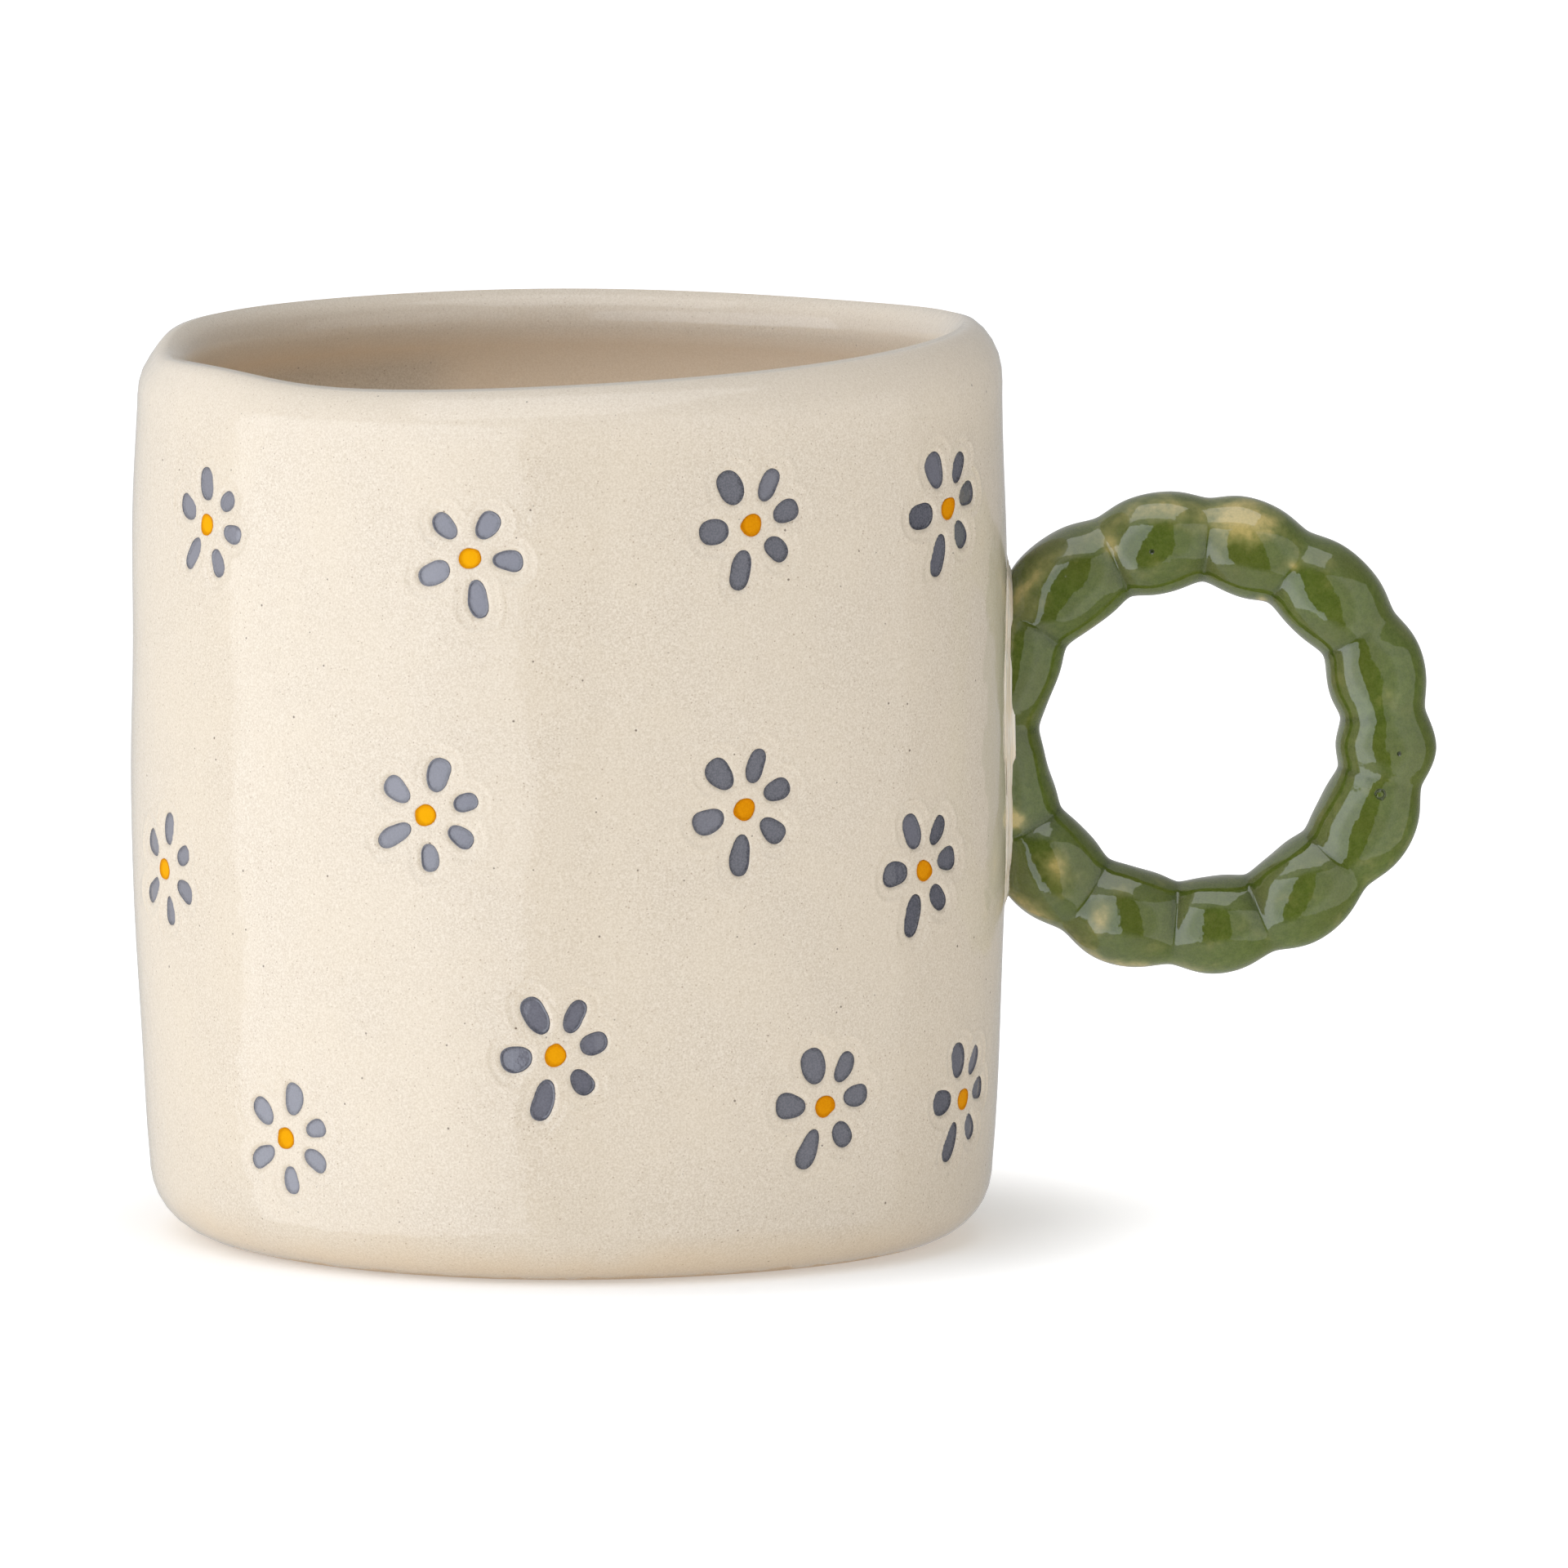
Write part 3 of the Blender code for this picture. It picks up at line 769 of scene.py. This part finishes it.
def cream_material():
    n = Nodes("clear_glaze_over_cream_stoneware")
    grain = n.ramp(n.noise(5.0, 4.0, 0.8), 0.32, 0.68)
    cloud = n.ramp(n.noise(0.12, 3.0), 0.3, 0.7)
    colour = n.mix(grain, (0.602, 0.506, 0.386), (0.797, 0.715, 0.600))
    colour = n.mix(n.math("MULTIPLY", cloud, 0.30), colour, (0.752, 0.650, 0.505))
    # iron specks of two sizes
    fine = n.specks(2.4, 0.26, 0.40)
    colour = n.mix(n.math("MULTIPLY", fine, 0.55), colour, (0.33, 0.22, 0.14))
    dark = n.specks(0.62, 0.10, 0.45, 13.0)
    colour = n.mix(n.math("MULTIPLY", dark, 0.8), colour, (0.12, 0.08, 0.055))
    # warmer where the glaze is thin over the foot
    ragged_height = n.math("ADD", n.height(), n.math("MULTIPLY", n.noise(0.09, 2.0), 5.0))
    thin = n.ramp(ragged_height, 3.2, 8.0, 0.45, 0.0)
    colour = n.mix(thin, colour, (0.72, 0.545, 0.345))
    inner = n.mix(grain, (0.84, 0.685, 0.505), (0.92, 0.775, 0.600))
    colour = n.mix(n.math("MULTIPLY", n.attribute("inside"), 0.9), colour, inner)
    # paler on the lip: a painted highlight towards the crest, standing in for the top light's reflection
    # there
    crest = n.ramp(n.height(), 78.5, 86.5, 0, 0.35)
    colour = n.mix(crest, colour, (0.90, 0.80, 0.67))
    # green glaze beside the handle, with a ragged edge
    edge = n.math("MULTIPLY", n.math("SUBTRACT", n.noise(0.16, 3.0, 0.6), 0.5), 1.5)
    bleed = n.ramp(n.math("ADD", n.attribute("bleed"), edge), 0.28, 0.42, 0, 0.40)
    bleed = n.math("MULTIPLY", bleed, n.ramp(n.attribute("bleed"), 0.0, 0.12))
    colour = n.mix(bleed, colour, (0.52, 0.47, 0.33))
    # bare clay under the foot
    wander = n.noise(0.35, 2.0)
    foot = n.ramp(n.math("ADD", n.height(), n.math("MULTIPLY", wander, -1.2)), -0.25, 0.15)
    clay = n.mix(grain, (0.56, 0.42, 0.28), (0.72, 0.58, 0.43))
    colour = n.mix(foot, clay, colour)
    roughness = n.ramp(foot, 0, 1, 0.75, 0.07)
    peel = n.bump(n.noise(0.55, 2.0), 0.035)
    sand = n.bump(n.noise(4.0, 2.0), 0.004, after=peel)
    return n.surface(colour, roughness, sand)


def petal_material():
    n = Nodes("blue_grey_underglaze")
    inward = n.attribute("inward")
    mottle = n.noise(1.6, 4.0, 0.6)
    patchy = n.ramp(n.math("ADD", inward, n.math("MULTIPLY", mottle, 0.7)), 0.28, 0.90)
    deep = n.mix(patchy, (0.028, 0.029, 0.040), (0.090, 0.091, 0.110))
    pale = n.mix(patchy, (0.088, 0.088, 0.108), (0.200, 0.200, 0.236))
    colour = n.mix(n.attribute("thinness"), deep, pale)
    grain = n.ramp(n.noise(6.0, 2.0), 0.35, 0.65)
    colour = n.mix(n.math("MULTIPLY", grain, 0.30), colour, (0.24, 0.24, 0.285))
    normal = n.bump(n.noise(1.4, 2.0), 0.02)
    return n.surface(colour, 0.08, normal, ior=1.8)


def centre_material():
    n = Nodes("yellow_underglaze")
    inward = n.attribute("inward")
    thick = n.mix(n.ramp(inward, 0.0, 0.45), (0.53, 0.165, 0.001), (0.66, 0.235, 0.002))
    thin = n.mix(n.ramp(inward, 0.0, 0.45), (0.62, 0.235, 0.002), (0.84, 0.40, 0.003))
    colour = n.mix(n.attribute("thinness"), thick, thin)
    grain = n.ramp(n.noise(6.0, 2.0), 0.35, 0.65)
    colour = n.mix(n.math("MULTIPLY", grain, 0.22), colour, (0.9, 0.42, 0.01))
    return n.surface(colour, 0.35, n.bump(n.noise(1.5, 2.0), 0.015), ior=1.05)


def green_material():
    n = Nodes("moss_green_glaze_breaking_amber")
    thin = n.attribute("thin")
    pool = n.attribute("pool")
    streaks = n.noise(0.33, 4.0, 0.6)
    fleck = n.noise(1.3, 3.0, 0.6)
    base = n.mix(n.ramp(fleck, 0.3, 0.7), (0.068, 0.102, 0.008), (0.100, 0.138, 0.018))
    colour = n.mix(n.ramp(n.noise(0.18, 2.0), 0.35, 0.7, 0, 0.5), base, (0.085, 0.100, 0.010))
    # thin glaze breaks to olive, then to amber
    drift = n.math("MULTIPLY", n.math("SUBTRACT", streaks, 0.5), 1.7)
    broken = n.math("MULTIPLY", thin, n.math("ADD", n.math("MULTIPLY", n.noise(0.9, 3.0, 0.6), 1.4), 0.35))
    thinness = n.math("ADD", broken, drift)
    colour = n.mix(n.ramp(thinness, 0.05, 0.65, 0, 0.75), colour, (0.27, 0.26, 0.075))
    colour = n.mix(n.ramp(thinness, 0.45, 1.15, 0, 0.85), colour, (0.58, 0.45, 0.16))
    colour = n.mix(n.math("MULTIPLY", pool, 0.5), colour, (0.020, 0.038, 0.004))
    grain = n.ramp(n.noise(5.5, 2.0), 0.3, 0.7)
    colour = n.mix(n.math("MULTIPLY", grain, 0.18), colour, (0.19, 0.21, 0.07))
    # pinholes in the glaze, and small curls where the coil was pinched
    holes, curls = None, None
    for angle, radius, size, is_curl in PITS:
        theta = math.radians(angle)
        spot = (RING_X + radius * math.cos(theta), PIT_FACE_Y, RING_Z + radius * math.sin(theta))
        away = n.add("ShaderNodeVectorMath", operation="DISTANCE")
        n.link(n.mm, away.inputs[0])
        away.inputs[1].default_value = spot
        if is_curl:
            off = n.math("ABSOLUTE", n.math("SUBTRACT", away.outputs["Value"], size))
            mark = n.ramp(n.math("ADD", off, n.math("MULTIPLY", n.noise(1.1, 1.0), 0.6)), 0.26, 0.40, 1, 0)
            curls = mark if curls is None else n.math("MAXIMUM", curls, mark)
        else:
            mark = n.ramp(away.outputs["Value"], size * 0.5, size, 1, 0)
            holes = mark if holes is None else n.math("MAXIMUM", holes, mark)
    marks = n.math("MAXIMUM", holes, n.math("MULTIPLY", curls, 0.7))
    colour = n.mix(n.math("MULTIPLY", marks, 0.9), colour, (0.008, 0.016, 0.002))
    peel = n.bump(n.noise(0.7, 2.0), 0.03)
    return n.surface(colour, 0.05, n.bump(marks, -0.25, after=peel), ior=1.85)


def slip_material():
    n = Nodes("glazed_clay_slip")
    streak = n.noise(1.0, 3.0, 0.6, stretch=(1.4, 1.4, 0.22))
    grain = n.ramp(n.noise(5.5, 3.0), 0.3, 0.7)
    colour = n.mix(n.ramp(streak, 0.35, 0.65), (0.90, 0.76, 0.58), (0.96, 0.89, 0.78))
    colour = n.mix(n.math("MULTIPLY", grain, 0.25), colour, (0.86, 0.76, 0.63))
    normal = n.bump(streak, 0.12)
    return n.surface(colour, 0.12, normal)


def floor_material():
    n = Nodes("plain_white_floor")
    cloud = n.ramp(n.noise(0.004, 2.0), 0.3, 0.7)
    colour = n.mix(cloud, (0.86, 0.86, 0.86), (0.88, 0.88, 0.88))
    away = n.add("ShaderNodeVectorMath", operation="LENGTH")
    n.link(n.mm, away.inputs[0])
    n.shader.inputs["Emission Color"].default_value = (1, 1, 1, 1)
    # the floor glows a little, so that it stays white in the mug's shade
    glow = n.ramp(away.outputs["Value"], 40, 66, FLOOR_GLOW, MID_GLOW)
    glow = n.math("ADD", glow, n.ramp(away.outputs["Value"], 300, 1500, 0.0, FAR_GLOW - MID_GLOW))
    n.link(glow, n.shader.inputs["Emission Strength"])
    return n.surface(colour, 0.9)


# ---------------------------------------------------------------- stage
SURROUND = 0.49  # brightness of the studio all round
SIDE_FALL = 0.36  # how much brighter than that it is at -X, and darker at +X
DARK_EDGE = 40  # degrees from -Y, where the studio starts to darken behind the camera
DARK_MIDDLE = 23
DARK_LEVEL = 0.10
# brightness of the softboxes
LEFT = 1.08
RIGHT = 0.45
TOP = 0.98
# glow of the floor at the foot, past it, and far away
FLOOR_GLOW = 0.28
MID_GLOW = 0.66
FAR_GLOW = 0.68
FLOOR_SIZE = 20000.0  # mm from the middle to an edge
FLOOR_DROP = 0.02  # the floor lies this far under the foot
CAMERA_ELEVATION = 6.89
CAMERA_DISTANCE = 1.5
CAMERA_LENS = 354.8
AIM_DROP = 0.0011  # the camera looks this far under the middle of the part


def make_floor():
    corners = ((-1, -1), (1, -1), (1, 1), (-1, 1))
    points = [(x * FLOOR_SIZE, y * FLOOR_SIZE, -FLOOR_DROP) for x, y in corners]
    floor = new_object("white_floor", points, [(0, 1, 2, 3)], floor_material())
    floor.visible_glossy = False


def aim(obj, target):
    direction = Vector(target) - obj.location
    obj.rotation_euler = direction.to_track_quat("-Z", "Y").to_euler()


def add_softbox(name, azimuth, elevation, distance, width, height, radiance, colour=(1, 1, 1)):
    """A panel of light. Azimuth is counted from the camera's side towards +X, in degrees."""
    data = bpy.data.lights.new(name, "AREA")
    data.shape = "RECTANGLE"
    data.size, data.size_y = width, height
    data.energy = radiance * math.pi * width * height
    data.color = colour
    light = bpy.data.objects.new(name, data)
    az, el = math.radians(azimuth), math.radians(elevation)
    middle = Vector(((CAD_BOX[0][0] + CAD_BOX[1][0]) / 2, 0, 0.045))
    towards = Vector((math.sin(az) * math.cos(el), -math.cos(az) * math.cos(el), math.sin(el)))
    light.location = middle + distance * towards
    bpy.context.scene.collection.objects.link(light)
    aim(light, middle)
    light.visible_camera = False


def make_world():
    world = bpy.data.worlds.new("studio")
    bpy.context.scene.world = world
    world.use_nodes = True
    tree = world.node_tree
    background = tree.nodes["Background"]
    background.inputs["Color"].default_value = (1, 1, 1, 1)
    coords = tree.nodes.new("ShaderNodeTexCoord")
    towards = tree.nodes.new("ShaderNodeVectorMath")
    towards.operation = "DOT_PRODUCT"
    towards.inputs[1].default_value = (0, -1, 0)
    tree.links.new(coords.outputs["Generated"], towards.inputs[0])
    ramp = tree.nodes.new("ShaderNodeMapRange")
    ramp.interpolation_type = "SMOOTHSTEP"
    ramp.inputs["From Min"].default_value = math.cos(math.radians(DARK_EDGE))
    ramp.inputs["From Max"].default_value = math.cos(math.radians(DARK_MIDDLE))
    ramp.inputs["To Min"].default_value = 1.0
    ramp.inputs["To Max"].default_value = DARK_LEVEL
    tree.links.new(towards.outputs["Value"], ramp.inputs["Value"])
    # brighter at -X than at +X
    split = tree.nodes.new("ShaderNodeSeparateXYZ")
    tree.links.new(coords.outputs["Generated"], split.inputs[0])
    side = tree.nodes.new("ShaderNodeMapRange")
    side.inputs["From Min"].default_value = -1
    side.inputs["From Max"].default_value = 1
    side.inputs["To Min"].default_value = SURROUND + SIDE_FALL
    side.inputs["To Max"].default_value = SURROUND - SIDE_FALL
    tree.links.new(split.outputs["X"], side.inputs["Value"])
    both = tree.nodes.new("ShaderNodeMath")
    both.operation = "MULTIPLY"
    tree.links.new(ramp.outputs["Result"], both.inputs[0])
    tree.links.new(side.outputs["Result"], both.inputs[1])
    tree.links.new(both.outputs[0], background.inputs["Strength"])


def make_camera():
    low, high = CAD_BOX
    target = Vector(((low[0] + high[0]) / 2, 0, (low[2] + high[2]) / 2 - AIM_DROP))
    elevation = math.radians(CAMERA_ELEVATION)
    data = bpy.data.cameras.new("camera")
    data.lens = CAMERA_LENS
    data.sensor_width = 36
    data.clip_end = 100
    camera = bpy.data.objects.new("camera", data)
    camera.location = target + CAMERA_DISTANCE * Vector((0, -math.cos(elevation), math.sin(elevation)))
    bpy.context.scene.collection.objects.link(camera)
    aim(camera, target)
    bpy.context.scene.camera = camera


def main():
    body = make_body(cream_material())
    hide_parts("mug_body")
    handle = make_handle(green_material())
    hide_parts("ring_handle")
    lute = make_lute(slip_material())
    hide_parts("handle_lute")
    pieces = [body, handle, lute]
    blue, yellow = petal_material(), centre_material()
    for number in range(len(FLOWERS)):
        petals = make_petals(number, blue)
        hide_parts(f"flower_{number + 1:02d}_petals")
        centre = make_centre(number, yellow)
        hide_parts(f"flower_{number + 1:02d}_centre")
        pieces += [petals, centre]
    for piece in pieces:
        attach(piece, "root")
    make_floor()
    make_world()
    add_softbox("left_softbox", -54.5, -3, 1.2, 2.2, 1.7, LEFT, (0.93, 1.0, 1.12))
    add_softbox("right_softbox", 50, -3, 1.2, 2.08, 1.7, RIGHT)
    add_softbox("top_softbox", -18, 70, 1.4, 1.4, 1.4, TOP, (0.98, 1.0, 1.05))
    make_camera()
    bpy.context.scene.view_settings.view_transform = "Standard"


main()
